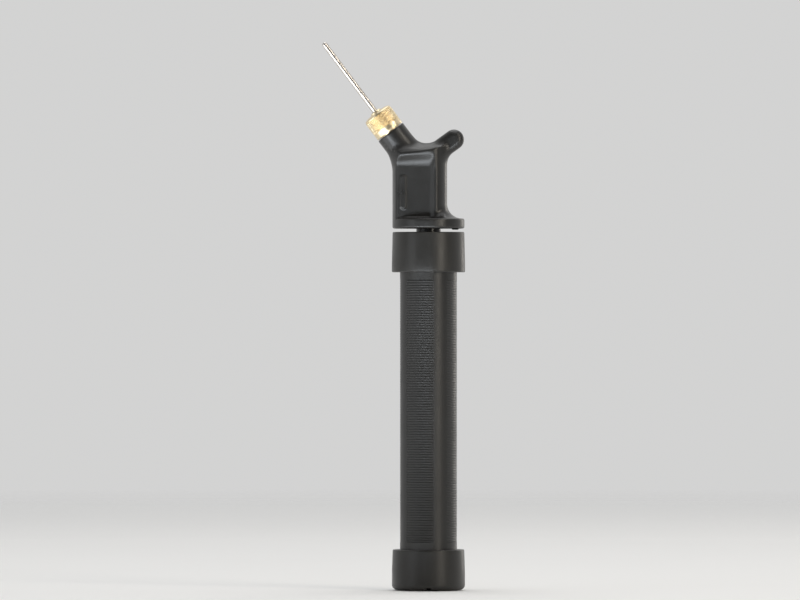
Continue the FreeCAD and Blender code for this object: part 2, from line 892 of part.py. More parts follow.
def make_needle():
    """The needle's brass base, its steel tube and the knurled nut that clamps them."""
    base = turned(
        "needle_base",
        [
            ("shank_radius + fit_gap", "needle_flange_bottom"),
            ("needle_flange_radius", "needle_flange_bottom"),
            ("needle_flange_radius", "nut_roof_bottom"),
            ("boss_radius", "nut_roof_bottom"),
            ("boss_radius", "boss_top"),
            ("shank_radius + fit_gap", "boss_top"),
        ],
    )
    on_nozzle(base)
    tube = turned(
        "needle_tube",
        [
            ("needle_bore", "needle_flange_bottom"),
            ("shank_radius", "needle_flange_bottom"),
            ("shank_radius", "boss_top"),
            ("needle_radius", "boss_top"),
            ("needle_radius", "needle_tip"),
            ("0", "needle_tip"),
            ("0", "needle_tip - needle_end"),
            ("needle_bore", "needle_tip - needle_end"),
        ],
    )
    round_rings(tube, [("needle_radius", "needle_tip")], "needle_tip_round")
    port = new_sketch(tube, "YZ_Plane", "needle_port_outline")
    add_circle(port, "0", "needle_tip - needle_port_inset", "needle_port")
    cut_round(tube, "needle_side_port", port, "needle_radius + reach", 1, True)
    on_nozzle(tube)
    thread = "spigot_radius + running_gap"
    nut = turned(
        "knurled_nut",
        [
            (thread, "nut_gap"),
            ("nut_radius", "nut_gap"),
            ("nut_radius", "nut_gap + nut_plain + nut_knurl"),
            ("nut_top_radius", "nut_top"),
            ("boss_radius + running_gap", "nut_top"),
            ("boss_radius + running_gap", "nut_roof_bottom"),
            (thread, "nut_roof_bottom"),
        ],
    )
    knurl = new_sketch(nut, "XY_Plane", "knurl_outline", "nut_gap + nut_plain")
    add_outline(
        knurl,
        [
            ("nut_radius - knurl_depth", "0"),
            ("nut_radius + knurl_depth / 2", "-1.5 * knurl_depth"),
            ("nut_radius + knurl_depth / 2", "1.5 * knurl_depth"),
        ],
    )
    cut_round(nut, "knurls", knurl, "nut_knurl", KNURLS, True)
    on_nozzle(nut)


def main():
    make_barrel_tube()
    make_bottom_cap()
    make_gasket("bottom_gasket", "cap_floor")
    make_gasket("top_gasket", "tube_top")
    make_inlet_valve()
    make_collar()
    make_rod_guide()
    make_piston_rod()
    make_piston_head()
    make_piston_seal()
    make_delivery_valve()
    make_handle()
    make_outlet()
    make_needle()
    doc.recompute()


NODES = [
    "barrel_tube",
    "bottom_cap",
    "bottom_gasket",
    "bottom_inlet_valve",
    "barrel_collar",
    "top_gasket",
    "rod_bush",
    "rod_seal",
    "seal_retainer",
    "piston_rod",
    "piston_head",
    "piston_seal_ring",
    "delivery_ball",
    "delivery_spring",
    "valve_spool",
    "delivery_sleeve",
    "handle_body",
    "handle_washer",
    "outlet_spigot",
    "outlet_washer",
    "needle_base",
    "needle_tube",
    "knurled_nut",
]

main()
for thing in doc.Objects:
    if "Invalid" in thing.State or "Error" in thing.State:
        raise ValueError(f"{thing.Name} did not build: {thing.State}")
os.makedirs("parts", exist_ok=True)
for node in NODES:
    shape = doc.getObjectsByLabel(node)[0].Shape
    if shape.isNull() or not shape.isValid() or not shape.Solids:
        raise ValueError(f"{node} has no valid solid")
    shape.exportStep(f"parts/{node}.step")
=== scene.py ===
import json
import math

import bpy
import numpy as np
from mathutils import Matrix, Vector


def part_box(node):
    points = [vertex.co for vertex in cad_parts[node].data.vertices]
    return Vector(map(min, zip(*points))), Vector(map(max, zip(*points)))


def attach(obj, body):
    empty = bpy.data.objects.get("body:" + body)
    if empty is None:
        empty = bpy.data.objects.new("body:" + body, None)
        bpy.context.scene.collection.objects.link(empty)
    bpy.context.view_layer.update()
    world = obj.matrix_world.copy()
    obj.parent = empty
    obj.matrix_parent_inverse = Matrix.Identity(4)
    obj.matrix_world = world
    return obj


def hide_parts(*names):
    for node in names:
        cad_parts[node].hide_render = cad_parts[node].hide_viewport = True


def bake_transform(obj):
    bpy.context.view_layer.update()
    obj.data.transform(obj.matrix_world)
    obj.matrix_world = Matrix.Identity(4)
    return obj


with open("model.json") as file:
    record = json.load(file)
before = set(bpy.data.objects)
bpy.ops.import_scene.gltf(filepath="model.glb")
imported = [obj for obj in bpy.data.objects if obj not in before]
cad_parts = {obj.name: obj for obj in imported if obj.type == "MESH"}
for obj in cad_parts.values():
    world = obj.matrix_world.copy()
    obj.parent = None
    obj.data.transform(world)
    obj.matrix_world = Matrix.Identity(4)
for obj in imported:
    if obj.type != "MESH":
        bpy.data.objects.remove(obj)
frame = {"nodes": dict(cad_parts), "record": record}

# The looks of a double-action ball pump. Shapes are worked out in millimetres in the part's own frame:
# the barrel stands on the floor along +Z, the front faces -Y and the needle leans towards -X.

MM = 0.001
# the spacing at which the handle's and the cap's surfaces are sampled, and the needle's
GRID = 0.32
FINE_GRID = 0.12
# how far a sampled box reaches past the solid in it
SAMPLE_MARGIN = 0.7
CREASE_ANGLE = math.radians(38)
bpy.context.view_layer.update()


def box_mm(node):
    """A CAD node's lowest and highest corners in millimetres."""
    low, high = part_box(node)
    return low / MM, high / MM


# ---------------------------------------------------------------------------------------- places and sizes

tube_low, tube_high = box_mm("barrel_tube")
collar_low, collar_high = box_mm("barrel_collar")
cap_high = box_mm("bottom_cap")[1]
rod_high = box_mm("piston_rod")[1]
handle_low = box_mm("handle_body")[0]

TUBE_RADIUS = tube_high.x
COLLAR_RADIUS = collar_high.x
COLLAR_TOP = collar_high.z
ROD_RADIUS = rod_high.x
# the gap left where one skin goes round another piece
SKIN_GAP = 0.03
LUG_HEIGHT = 0.45
FLANGE_RADIUS = 14.3
FLANGE_THICKNESS = 4.0
FLANGE_ROUND = 0.8
FLANGE_BOTTOM = handle_low.z + LUG_HEIGHT
FLANGE_TOP = FLANGE_BOTTOM + FLANGE_THICKNESS

needle_mount = next(mount for mount in frame["record"]["mounts"] if mount["name"] == "needle_pin")
NOZZLE_AXIS = np.array(needle_mount["axis"])
NOZZLE_TILT = math.atan2(-NOZZLE_AXIS[0], NOZZLE_AXIS[2])
NOZZLE_LENGTH = 25.0
NOZZLE_RADIUS = 6.1
# the nozzle's axis starts where it crosses the barrel's
NOZZLE_START = np.array([0.0, 0.0, FLANGE_TOP + 14.4])
NOZZLE_END = NOZZLE_START + NOZZLE_AXIS * NOZZLE_LENGTH


# -------------------------------------------------------------------------------------------- mesh helpers


def moved(vertices, place):
    """Points moved by a matrix."""
    if place is None:
        return vertices
    return vertices @ np.array(place.to_3x3()).T + np.array(place.translation)


def new_object(name, vertices, faces, sharp_angle=CREASE_ANGLE):
    """A smooth-shaded object from millimetre vertices, creased where faces meet at more than an angle."""
    mesh = bpy.data.meshes.new(name)
    mesh.from_pydata((np.asarray(vertices, float) * MM).tolist(), [], [list(face) for face in faces])
    mesh.update()
    mesh.polygons.foreach_set("use_smooth", np.ones(len(mesh.polygons), bool))
    if sharp_angle is not None:
        mesh.set_sharp_from_angle(angle=sharp_angle)
    thing = bpy.data.objects.new(name, mesh)
    bpy.context.scene.collection.objects.link(thing)
    return thing


def add_piece(thing, body, slot, material, *replaced):
    """Paints a piece, ties it to its body and hides the CAD nodes that it stands for. Its slot is not used.
    """
    thing.data.materials.append(material)
    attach(thing, body)
    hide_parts(*replaced)


def polar(radius, angles, height):
    """Points about Z from radii, angles and heights."""
    radius, angles, height = np.broadcast_arrays(radius, angles, height)
    return np.stack([radius * np.cos(angles), radius * np.sin(angles), height], axis=-1)


def rounded(corners, closed, steps=6):
    """The points of an outline whose corners, given as (radius, height, rounding), are turned into arcs."""
    points = []
    count = len(corners)
    for index, (radius, height, rounding) in enumerate(corners):
        here = np.array([radius, height], float)
        if rounding == 0 or (not closed and index in (0, count - 1)):
            points.append(here)
            continue
        back = np.array(corners[index - 1][:2], float) - here
        ahead = np.array(corners[(index + 1) % count][:2], float) - here
        back /= np.linalg.norm(back)
        ahead /= np.linalg.norm(ahead)
        half = math.acos(np.clip(back @ ahead, -1, 1)) / 2
        inset = rounding / math.tan(half)
        centre = here + (back + ahead) / np.linalg.norm(back + ahead) * rounding / math.sin(half)
        first = here + back * inset - centre
        last = here + ahead * inset - centre
        sweep = math.pi - 2 * half
        turn = 1 if first[0] * last[1] - first[1] * last[0] > 0 else -1
        for step in range(steps + 1):
            angle = turn * sweep * step / steps
            cos, sin = math.cos(angle), math.sin(angle)
            turned = [cos * first[0] - sin * first[1], sin * first[0] + cos * first[1]]
            points.append(centre + turned)
    return np.array(points)


def lathe(name, outline, segments, place=None):
    """Turns a closed outline of (radius, height) points about Z, then moves it if a matrix is given."""
    angles = np.arange(segments) * 2 * math.pi / segments
    vertices = []
    rings = []
    for radius, height in outline:
        rings.append(list(range(len(vertices), len(vertices) + segments)))
        vertices.extend(polar(radius, angles, height))
    faces = []
    for lower, upper in zip(rings, rings[1:] + rings[:1]):
        for step in range(segments):
            following = (step + 1) % segments
            faces.append([lower[step], lower[following], upper[following], upper[step]])
    return new_object(name, moved(np.array(vertices, float), place), faces)


def on_nozzle():
    """The place of something drawn upright that stands on the nozzle's end, along the nozzle's axis."""
    return Matrix.Translation(Vector(NOZZLE_END)) @ Matrix.Rotation(-NOZZLE_TILT, 4, "Y")


def grid_ring(name, points, place=None):
    """A closed surface from rows of points that each go all the way round. The last row joins the first."""
    rows, columns = points.shape[:2]
    index = np.arange(rows * columns).reshape(rows, columns)
    across = np.roll(index, -1, axis=1)
    faces = np.stack([index, across, np.roll(across, -1, axis=0), np.roll(index, -1, axis=0)], axis=-1)
    return new_object(name, moved(points.reshape(-1, 3), place), faces.reshape(-1, 4).tolist())


# ---------------------------------------------------------------------------- solids as distance functions


def round_union(a, b, radius):
    """The union of two distances, with a fillet of a radius in the corner between them."""
    corner = np.hypot(np.maximum(radius - a, 0), np.maximum(radius - b, 0))
    return np.maximum(radius, np.minimum(a, b)) - corner


def round_common(a, b, radius):
    """What two solids have in common, with the edge between them rounded."""
    corner = np.hypot(np.maximum(radius + a, 0), np.maximum(radius + b, 0))
    return np.minimum(-radius, np.maximum(a, b)) + corner


def surface_nets(field, low, step):
    """The vertices and four-sided faces of a sampled field's zero surface."""
    inside = field < 0
    cells = tuple(size - 1 for size in field.shape)
    total = np.zeros(cells + (3,))
    crossings = np.zeros(cells)
    offsets = [(i, j, k) for i in (0, 1) for j in (0, 1) for k in (0, 1)]
    for start in offsets:
        for axis in range(3):
            if start[axis]:
                continue
            end = tuple(value + (place == axis) for place, value in enumerate(start))
            a = field[tuple(slice(o, o + n) for o, n in zip(start, cells))]
            b = field[tuple(slice(o, o + n) for o, n in zip(end, cells))]
            crossed = (a < 0) != (b < 0)
            share = np.where(crossed, a / np.where(crossed, a - b, 1), 0)
            for place in range(3):
                along = share if place == axis else start[place]
                total[..., place] += np.where(crossed, along, 0)
            crossings += crossed
    mixed = crossings > 0
    index = np.full(cells, -1)
    index[mixed] = np.arange(mixed.sum())
    vertices = (np.argwhere(mixed) + total[mixed] / crossings[mixed][:, None]) * step + low
    faces = []
    for axis in range(3):
        side, up = (axis + 1) % 3, (axis + 2) % 3
        ahead = np.roll(inside, -1, axis=axis)
        changed = inside != ahead
        changed[tuple(slice(-1, None) if place == axis else slice(None) for place in range(3))] = False
        for flipped in (False, True):
            edges = np.argwhere(changed & (inside != flipped))
            corners = []
            for move_side, move_up in ((0, 0), (1, 0), (1, 1), (0, 1)):
                cell = edges.copy()
                cell[:, side] -= move_side
                cell[:, up] -= move_up
                corners.append(index[tuple(cell.T)])
            if flipped:
                corners.reverse()
            faces.append(np.stack(corners, axis=-1))
    return vertices, np.concatenate(faces)


def solid_from_distance(name, distance, low, high, step, sharp_angle=None, place=None):
    """A mesh of a distance function's solid, with every vertex moved onto the true surface.

    Each of a few rounds takes the function's slope from points close by and steps down it to zero.
    """
    rounds = 4
    flattest = 0.25
    axes = [np.arange(a, b + step, step) for a, b in zip(low, high)]
    field = distance(*np.meshgrid(*axes, indexing="ij"))
    vertices, faces = surface_nets(field, np.array(low, float), step)
    probe = step * 0.1
    for _ in range(rounds):
        x, y, z = vertices.T
        here = distance(x, y, z)
        slope = np.stack(
            [
                distance(x + probe, y, z) - distance(x - probe, y, z),
                distance(x, y + probe, z) - distance(x, y - probe, z),
                distance(x, y, z + probe) - distance(x, y, z - probe),
            ],
            axis=-1,
        ) / (2 * probe)
        size = np.maximum((slope**2).sum(axis=1), flattest)
        move = slope * (here / size)[:, None]
        vertices = vertices - np.clip(move, -step / 2, step / 2)
    return new_object(name, moved(vertices, place), faces.tolist(), sharp_angle)


# ----------------------------------------------------------------------------------------------- materials


class Nodes:
    """A material's node tree, with short ways to add and join nodes."""

    def __init__(self, name):
        self.material = bpy.data.materials.new(name)
        self.material.use_nodes = True
        self.tree = self.material.node_tree
        self.shader = self.tree.nodes["Principled BSDF"]

    def add(self, kind, inputs=None, **settings):
        node = self.tree.nodes.new(kind)
        for key, value in settings.items():
            setattr(node, key, value)
        for key, value in (inputs or {}).items():
            self.feed(node.inputs[key], value)
        return node

    def feed(self, socket, value):
        """Sets a socket to a number or colour, or joins it to another node's output."""
        if isinstance(value, bpy.types.NodeSocket):
            self.tree.links.new(value, socket)
        elif isinstance(value, tuple) and len(value) == 3 and len(socket.default_value) == 4:
            socket.default_value = (*value, 1.0)
        else:
            socket.default_value = value

    def set(self, **values):
        for name, value in values.items():
            self.feed(self.shader.inputs[name.replace("_", " ")], value)

    def place(self):
        """The point's place in the part's frame, in metres."""
        return self.add("ShaderNodeTexCoord").outputs["Object"]

    def noise(self, scale, detail=4.0, roughness=0.5, vector=None):
        """A noise whose grains are about 1 / scale metres across."""
        node = self.add(
            "ShaderNodeTexNoise",
            {"Scale": scale, "Detail": detail, "Roughness": roughness, "Vector": vector or self.place()},
        )
        return node.outputs["Fac"]

    def spread(self, value, low, high, new_low, new_high):
        """Maps a value's range onto another one."""
        inputs = {"Value": value, "From Min": low, "From Max": high, "To Min": new_low, "To Max": new_high}
        return self.add("ShaderNodeMapRange", inputs).outputs["Result"]

    def mix(self, share, first, second):
        node = self.add("ShaderNodeMix", data_type="RGBA")
        for name, value in (("Factor", share), ("A", first), ("B", second)):
            kind = "VALUE" if name == "Factor" else "RGBA"
            socket = next(s for s in node.inputs if s.name == name and s.type == kind)
            self.feed(socket, value)
        return next(s for s in node.outputs if s.type == "RGBA")

    def maths(self, operation, first, second=0.0):
        return self.add("ShaderNodeMath", {0: first, 1: second}, operation=operation).outputs[0]

    def vectors(self, operation, inputs, result="Vector"):
        return self.add("ShaderNodeVectorMath", inputs, operation=operation).outputs[result]

    def edges(self):
        """Over a half on outer edges and under a half in inner corners."""
        return self.add("ShaderNodeNewGeometry").outputs["Pointiness"]

    def bump(self, height, distance, strength=1.0, normal=None):
        inputs = {"Height": height, "Distance": distance, "Strength": strength}
        if normal is not None:
            inputs["Normal"] = normal
        return self.add("ShaderNodeBump", inputs).outputs["Normal"]


def stretched(nodes, along, across, axis=(0.0, 0.0, 1.0)):
    """The point's place scaled one way along an axis and another across it, so a noise turns into lines."""
    place = nodes.place()
    length = nodes.vectors("DOT_PRODUCT", {0: place, 1: tuple(axis)}, "Value")
    extra = nodes.maths("MULTIPLY", length, along - across)
    shift = nodes.vectors("SCALE", {0: tuple(axis), "Scale": extra})
    scaled = nodes.vectors("SCALE", {0: place, "Scale": across})
    return nodes.vectors("ADD", {0: scaled, 1: shift})


BLACK = (0.0145, 0.014, 0.013)
CAP_BLACK = (0.016, 0.015, 0.013)
DUST = (0.09, 0.085, 0.075)
WORN_EDGE = (0.07, 0.066, 0.06)
BRASS = (0.88, 0.745, 0.50)
TARNISH = (0.74, 0.58, 0.34)
# a shaded brass colour, painted into inner corners as shade
BRASS_PAINTED_SHADE = (0.36, 0.23, 0.09)
NICKEL = (0.60, 0.565, 0.53)
NICKEL_STAIN = (0.48, 0.44, 0.385)


def black_plastic(name, shade, roughness, grain, mould_line=False):
    """Moulded black plastic: fine grain, faint flow marks, specks of dust, dulled patches, lighter edges."""
    nodes = Nodes(name)
    flow = nodes.noise(35.0, 3.0)
    cloudy = nodes.mix(nodes.spread(flow, 0.35, 0.7, 0.0, 1.0), tuple(c * 0.8 for c in shade), shade)
    dust = nodes.noise(900.0, 6.0, 0.7)
    specks = nodes.spread(dust, 0.66, 0.78, 0.0, 0.25)
    dusty = nodes.mix(specks, cloudy, DUST)
    worn = nodes.spread(nodes.edges(), 0.53, 0.62, 0.0, 0.5)
    nodes.set(Base_Color=nodes.mix(worn, dusty, WORN_EDGE))
    smudge = nodes.spread(nodes.noise(90.0, 5.0, 0.6), 0.3, 0.75, -0.05, 0.08)
    nodes.set(Roughness=nodes.maths("ADD", smudge, roughness))
    normal = nodes.bump(nodes.noise(grain, 3.0, 0.6), 0.00003, 0.6)
    # a thin raised line runs round the middle of the moulding, where the two halves of the mould met
    if mould_line:
        split = nodes.add("ShaderNodeSeparateXYZ", {"Vector": nodes.place()})
        away = nodes.maths("ABSOLUTE", split.outputs["Y"])
        ridge = nodes.spread(away, 0.00006, 0.00016, 1.0, 0.0)
        normal = nodes.bump(ridge, 0.00004, 0.8, normal)
    nodes.set(Normal=normal)
    nodes.set(Specular_IOR_Level=0.5)
    return nodes.material


def inner_plastic():
    """Off-white acetal for the pieces inside."""
    nodes = Nodes("inner_plastic")
    tone = nodes.spread(nodes.noise(60.0, 3.0), 0.3, 0.7, 0.0, 1.0)
    nodes.set(Base_Color=nodes.mix(tone, (0.62, 0.60, 0.54), (0.70, 0.69, 0.64)))
    nodes.set(Roughness=nodes.spread(nodes.noise(200.0), 0.3, 0.7, 0.38, 0.5))
    nodes.set(Normal=nodes.bump(nodes.noise(2500.0), 0.00002, 0.4))
    return nodes.material


def rubber():
    """Black nitrile rubber, dull with a light bloom."""
    nodes = Nodes("rubber")
    bloom = nodes.spread(nodes.noise(400.0, 6.0, 0.7), 0.45, 0.8, 0.0, 1.0)
    nodes.set(Base_Color=nodes.mix(bloom, (0.012, 0.012, 0.012), (0.05, 0.05, 0.052)))
    nodes.set(Roughness=nodes.spread(bloom, 0.0, 1.0, 0.55, 0.75))
    nodes.set(Normal=nodes.bump(nodes.noise(3000.0), 0.00003, 0.5))
    return nodes.material


def brass():
    """Turned brass: fine tool marks round the nozzle's axis, tarnish in patches, and painted shade darkening
    its inner corners.
    """
    nodes = Nodes("brass")
    tarnish = nodes.spread(nodes.noise(260.0, 5.0, 0.65), 0.4, 0.8, 0.0, 0.5)
    colour = nodes.mix(tarnish, BRASS, TARNISH)
    # painted shade: inner corners, such as the knurling's grooves, are darkened towards a shaded brass
    # colour
    recess = nodes.spread(nodes.edges(), 0.40, 0.49, 0.85, 0.0)
    nodes.set(Base_Color=nodes.mix(recess, colour, BRASS_PAINTED_SHADE))
    nodes.set(Metallic=1.0)
    marks = nodes.noise(1.0, 3.0, 0.6, stretched(nodes, 9000.0, 150.0, NOZZLE_AXIS))
    nodes.set(Roughness=nodes.spread(marks, 0.3, 0.7, 0.2, 0.36))
    nodes.set(Normal=nodes.bump(marks, 0.000015, 0.5))
    return nodes.material


def needle_steel():
    """Bright nickel-plated tube with faint lines from drawing."""
    nodes = Nodes("needle_steel")
    stain = nodes.spread(nodes.noise(180.0, 4.0), 0.4, 0.8, 0.0, 1.0)
    nodes.set(Base_Color=nodes.mix(stain, NICKEL, NICKEL_STAIN))
    nodes.set(Metallic=1.0)
    lines = nodes.noise(1.0, 3.0, 0.5, stretched(nodes, 12.0, 1400.0, NOZZLE_AXIS))
    nodes.set(Roughness=nodes.spread(lines, 0.3, 0.7, 0.27, 0.36))
    nodes.set(Normal=nodes.bump(lines, 0.000001, 0.15))
    return nodes.material


def bright_steel():
    """Polished steel for the ball and the spring."""
    nodes = Nodes("bright_steel")
    tone = nodes.noise(500.0, 3.0)
    nodes.set(Base_Color=nodes.mix(tone, (0.55, 0.55, 0.56), (0.68, 0.68, 0.68)))
    nodes.set(Metallic=1.0)
    nodes.set(Roughness=nodes.spread(tone, 0.3, 0.7, 0.15, 0.28))
    return nodes.material


def rod_plastic():
    """The smooth greased surface of the hollow rod."""
    nodes = Nodes("rod_plastic")
    lines = nodes.noise(1.0, 3.0, 0.5, stretched(nodes, 20.0, 2500.0))
    nodes.set(Base_Color=nodes.mix(lines, (0.012, 0.012, 0.012), (0.024, 0.023, 0.022)))
    nodes.set(Roughness=nodes.spread(nodes.noise(120.0, 4.0), 0.3, 0.7, 0.2, 0.34))
    nodes.set(Normal=nodes.bump(lines, 0.000008, 0.4))
    return nodes.material


def make_materials():
    """One material for each of the record's slots."""
    return {
        "barrel_plastic": black_plastic("barrel_plastic", BLACK, 0.38, 3200.0),
        "cap_plastic": black_plastic("cap_plastic", CAP_BLACK, 0.36, 1700.0),
        "handle_plastic": black_plastic("handle_plastic", BLACK, 0.31, 2600.0, mould_line=True),
        "rod_plastic": rod_plastic(),
        "inner_plastic": inner_plastic(),
        "seal_rubber": rubber(),
        "nut_brass": brass(),
        "needle_steel": needle_steel(),
        "bright_steel": bright_steel(),
    }


# -------------------------------------------------------------------------------------------------- barrel

RIB_PITCH = 1.0
RIB_DEPTH = 0.15
RIB_STEPS = 8
# above one, so the ribs' crests are wider than the grooves between them
RIB_WIDENING = 1.6
# the plain length at each end, then the rings that hold the last groove's step crisp
GRIP_MARGIN = 3.0
GRIP_STEP = 0.02
GRIP_HOLD = 0.4
# in degrees: a strip's middle, its width, and the width over which the ribs fade at its edges
STRIP_CENTRE = -65.0
STRIP_ANGLE = 31.0
STRIP_FADE = 0.35
DEGREE_STEP = 2
TUBE_BORE = 9.0


def make_barrel(material):
    """The outer tube: four panels of fine ribs that run round it, with plain strips between them."""
    panel_low = cap_high.z + GRIP_MARGIN
    panel_high = collar_low.z - GRIP_MARGIN
    count = int(round((panel_high - panel_low) / RIB_PITCH))
    pitch = (panel_high - panel_low) / count
    heights = np.concatenate(
        [
            [tube_low.z, panel_low - GRIP_HOLD, panel_low - GRIP_STEP],
            panel_low + np.arange(count * RIB_STEPS + 1) * pitch / RIB_STEPS,
            [panel_high + GRIP_STEP, panel_high + GRIP_HOLD, tube_high.z],
        ]
    )
    # angles crowd at the strips' edges, where the ribs start and stop, and the even ones there give way
    edges = [
        (STRIP_CENTRE + quarter + side * STRIP_ANGLE / 2 + nudge) % 360
        for quarter in (0, 90, 180, 270)
        for side in (-1, 1)
        for nudge in (-STRIP_FADE, 0.0, STRIP_FADE)
    ]
    crowding = 0.8
    even = [
        angle
        for angle in range(0, 360, DEGREE_STEP)
        if min(abs((angle - edge + 180) % 360 - 180) for edge in edges) > crowding
    ]
    degrees = np.array(sorted(even + edges))
    offset = (degrees - STRIP_CENTRE + 45) % 90 - 45
    in_panel = np.clip((np.abs(offset) - STRIP_ANGLE / 2) / STRIP_FADE, 0, 1)
    along = (heights - panel_low) / pitch
    wave = 0.5 - 0.5 * np.cos(2 * math.pi * along)
    crest = np.clip(wave * RIB_WIDENING, 0, 1)
    in_length = (heights >= panel_low) & (heights <= panel_high)
    depth = np.where(in_length, RIB_DEPTH * (1 - crest), 0)[:, None] * in_panel[None, :]
    angles = np.radians(degrees)
    outside = polar(TUBE_RADIUS - depth, angles, heights[:, None])
    bore_heights = np.array([tube_high.z, tube_low.z])
    bore = polar(TUBE_BORE, angles, bore_heights[:, None])
    tube = grid_ring("barrel_shell", np.concatenate([outside, bore]))
    add_piece(tube, "barrel", "barrel_plastic", material, "barrel_tube")


# ----------------------------------------------------------------------------------------- collar and foot

COLLAR_ROUND = 0.5
COLLAR_BREAK = 0.15
COLLAR_DRAFT = 0.3
COLLAR_STRAIGHT = 3.0
COLLAR_MOUTH = 6.5
COLLAR_LIP = 2.6


def make_collar(material):
    """The collar's skin, with soft edges and a slight draft towards the top."""
    round_tube = TUBE_RADIUS + SKIN_GAP
    under_lip = COLLAR_TOP - COLLAR_LIP
    outline = rounded(
        [
            (round_tube, collar_low.z, COLLAR_BREAK),
            (COLLAR_RADIUS, collar_low.z, COLLAR_ROUND),
            (COLLAR_RADIUS, collar_low.z + COLLAR_STRAIGHT, 0.0),
            (COLLAR_RADIUS - COLLAR_DRAFT, COLLAR_TOP, COLLAR_ROUND),
            (COLLAR_MOUTH, COLLAR_TOP, COLLAR_BREAK),
            (COLLAR_MOUTH, under_lip, 0.0),
            (round_tube, under_lip, 0.0),
        ],
        closed=True,
    )
    collar = lathe("collar_shell", outline, 192)
    add_piece(collar, "barrel", "cap_plastic", material, "barrel_collar")


CAP_FLOOR = 3.2
CAP_DRAFT = 0.3
CAP_ROUND = 2.0
CAP_RIM_ROUND = 0.4
CAP_BREAK = 0.12
VENT_CIRCLE = 6.0
VENT_WIDTH = 1.6
VENT_DEPTH = 1.0
UMBRELLA_STEM = 1.53
UMBRELLA_DEPTH = 1.8
INLETS = 6
INLET_RADIUS = 0.7


def cap_distance(x, y, z):
    """The distance to the bottom cap: a cup with breathing grooves under its floor and holes through it."""
    from_axis = np.hypot(x, y)
    height = cap_high.z
    draft = CAP_DRAFT * np.clip((z - height / 2) / (height / 2), 0, 1)
    outside = from_axis - (cap_high.x - draft)
    cup = round_common(outside, -z, CAP_ROUND)
    cup = round_common(cup, z - height, CAP_RIM_ROUND)
    cup = round_common(cup, -np.maximum(from_axis - TUBE_RADIUS - SKIN_GAP, CAP_FLOOR - z), CAP_BREAK)
    stem = np.maximum(from_axis - UMBRELLA_STEM, CAP_FLOOR - UMBRELLA_DEPTH - z)
    groove = np.maximum(np.abs(from_axis - VENT_CIRCLE) - VENT_WIDTH / 2, z - VENT_DEPTH)
    nearest = np.minimum(np.abs(x), np.abs(y))
    vent = np.maximum(np.maximum(nearest - VENT_WIDTH / 2, VENT_CIRCLE - from_axis), z - VENT_DEPTH)
    angle = np.arctan2(y, x)
    step = 2 * math.pi / INLETS
    turned = angle - np.round(angle / step) * step
    inlet = np.hypot(from_axis * np.cos(turned) - VENT_CIRCLE, from_axis * np.sin(turned)) - INLET_RADIUS
    inlet = np.maximum(inlet, z - CAP_FLOOR - 1)
    cup = round_common(cup, -np.minimum(groove, vent), CAP_BREAK)
    return np.maximum(cup, -np.minimum(stem, inlet))


def make_cap(material):
    """The moulded foot of the barrel."""
    reach = cap_high.x + SAMPLE_MARGIN
    low = (-reach, -reach, -SAMPLE_MARGIN)
    high = (reach, reach, cap_high.z + SAMPLE_MARGIN)
    cap = solid_from_distance("foot_cap", cap_distance, low, high, GRID)
    add_piece(cap, "barrel", "cap_plastic", material, "bottom_cap")


# -------------------------------------------------------------------------------------------------- handle

COLUMN_HALF_DEPTH = 8.2
COLUMN_RIGHT = 7.4
COLUMN_EDGE = 1.2
CROWN_RADIUS = 8.75
# the column's top slopes along X from its left side, and climbs back from the lip at its front
SLOPE_LEFT = -13.7
SLOPE = 0.113
LIP = FLANGE_TOP + 25.5
LIP_EDGE = 0.5
LIP_CLIMB = 0.8
LIP_RISE = 0.9
NOZZLE_FLARE = 0.9
NOZZLE_EDGE = 0.35
NOZZLE_FOOT = 6.0
HORN_TIP = np.array([10.1, 0.0, FLANGE_TOP + 31.3])
HORN_ANGLE = math.radians(36)
HORN_RADIUS = 4.0
HORN_HALF_DEPTH = 4.2
HORN_LENGTH = 14.0
HORN_EDGE = 2.6
SADDLE_RADIUS = 5.4
NECK_RADIUS = 2.2
# the fillet on the flange is wide at the column's right and narrow at its left
FOOT_RADIUS = 6.0
FOOT_LEFT_RADIUS = 1.3
PANEL_RIGHT = 1.3
PANEL_FLOOR = 6.5
PANEL_DEPTH = COLUMN_HALF_DEPTH - PANEL_FLOOR
# the rounding of the recess's edge: at the left, and what changes along the top and at the lower right
PANEL_EDGE = 0.8
PANEL_EDGE_CRISPER = 0.35
PANEL_EDGE_SOFTER = 0.3
# how far the right wall leans, and how long it is, for each millimetre of the recess's depth
WALL_LEAN = 0.7
WALL_LENGTH = 1.22
WALL_FILLET = 1.1
# the top wall's height above the flange, at the recess's floor and at the column's face
PANEL_TOP_INSIDE = 22.0
PANEL_TOP_OUTSIDE = 24.95
PANEL_TOP_FILLET = 0.6
RIB_CENTRE = (-10.0, FLANGE_TOP + 10.4)
RIB_HALF_WIDTH = 1.15
RIB_HALF_LENGTH = 6.8
RIB_RISE = 0.4
RIB_EDGE = 0.3
RIB_FILLET = 0.25
PASSAGE_RADIUS = 1.5
SOCKET_GAP = 0.05
SOCKET_HEADROOM = 1.05
SPIGOT_ROOT = 3.25
SPIGOT_DEPTH = 8.05
LUG_CENTRE = 10.65
LUG_HALF_WIDTH = 1.35
LUG_EDGE = 0.15


def blend_step(value, low, high):
    """Nought below low, one above high and smooth between them."""
    share = np.clip((value - low) / (high - low), 0, 1)
    return share * share * (3 - 2 * share)


def recess_distance(x, away, z):
    """The distance to the recess in each face: a flat floor, and right and top walls that lean outwards."""
    depth = away - PANEL_FLOOR
    wall_at_floor = FLANGE_TOP + PANEL_TOP_INSIDE
    wall_at_face = FLANGE_TOP + PANEL_TOP_OUTSIDE + SLOPE * (x - SLOPE_LEFT)
    climb = (wall_at_face - wall_at_floor) / PANEL_DEPTH
    above = (z - wall_at_floor - climb * depth) / np.hypot(1, climb)
    recess = round_common(-depth, (x - PANEL_RIGHT - WALL_LEAN * depth) / WALL_LENGTH, WALL_FILLET)
    return round_common(recess, above, PANEL_TOP_FILLET)


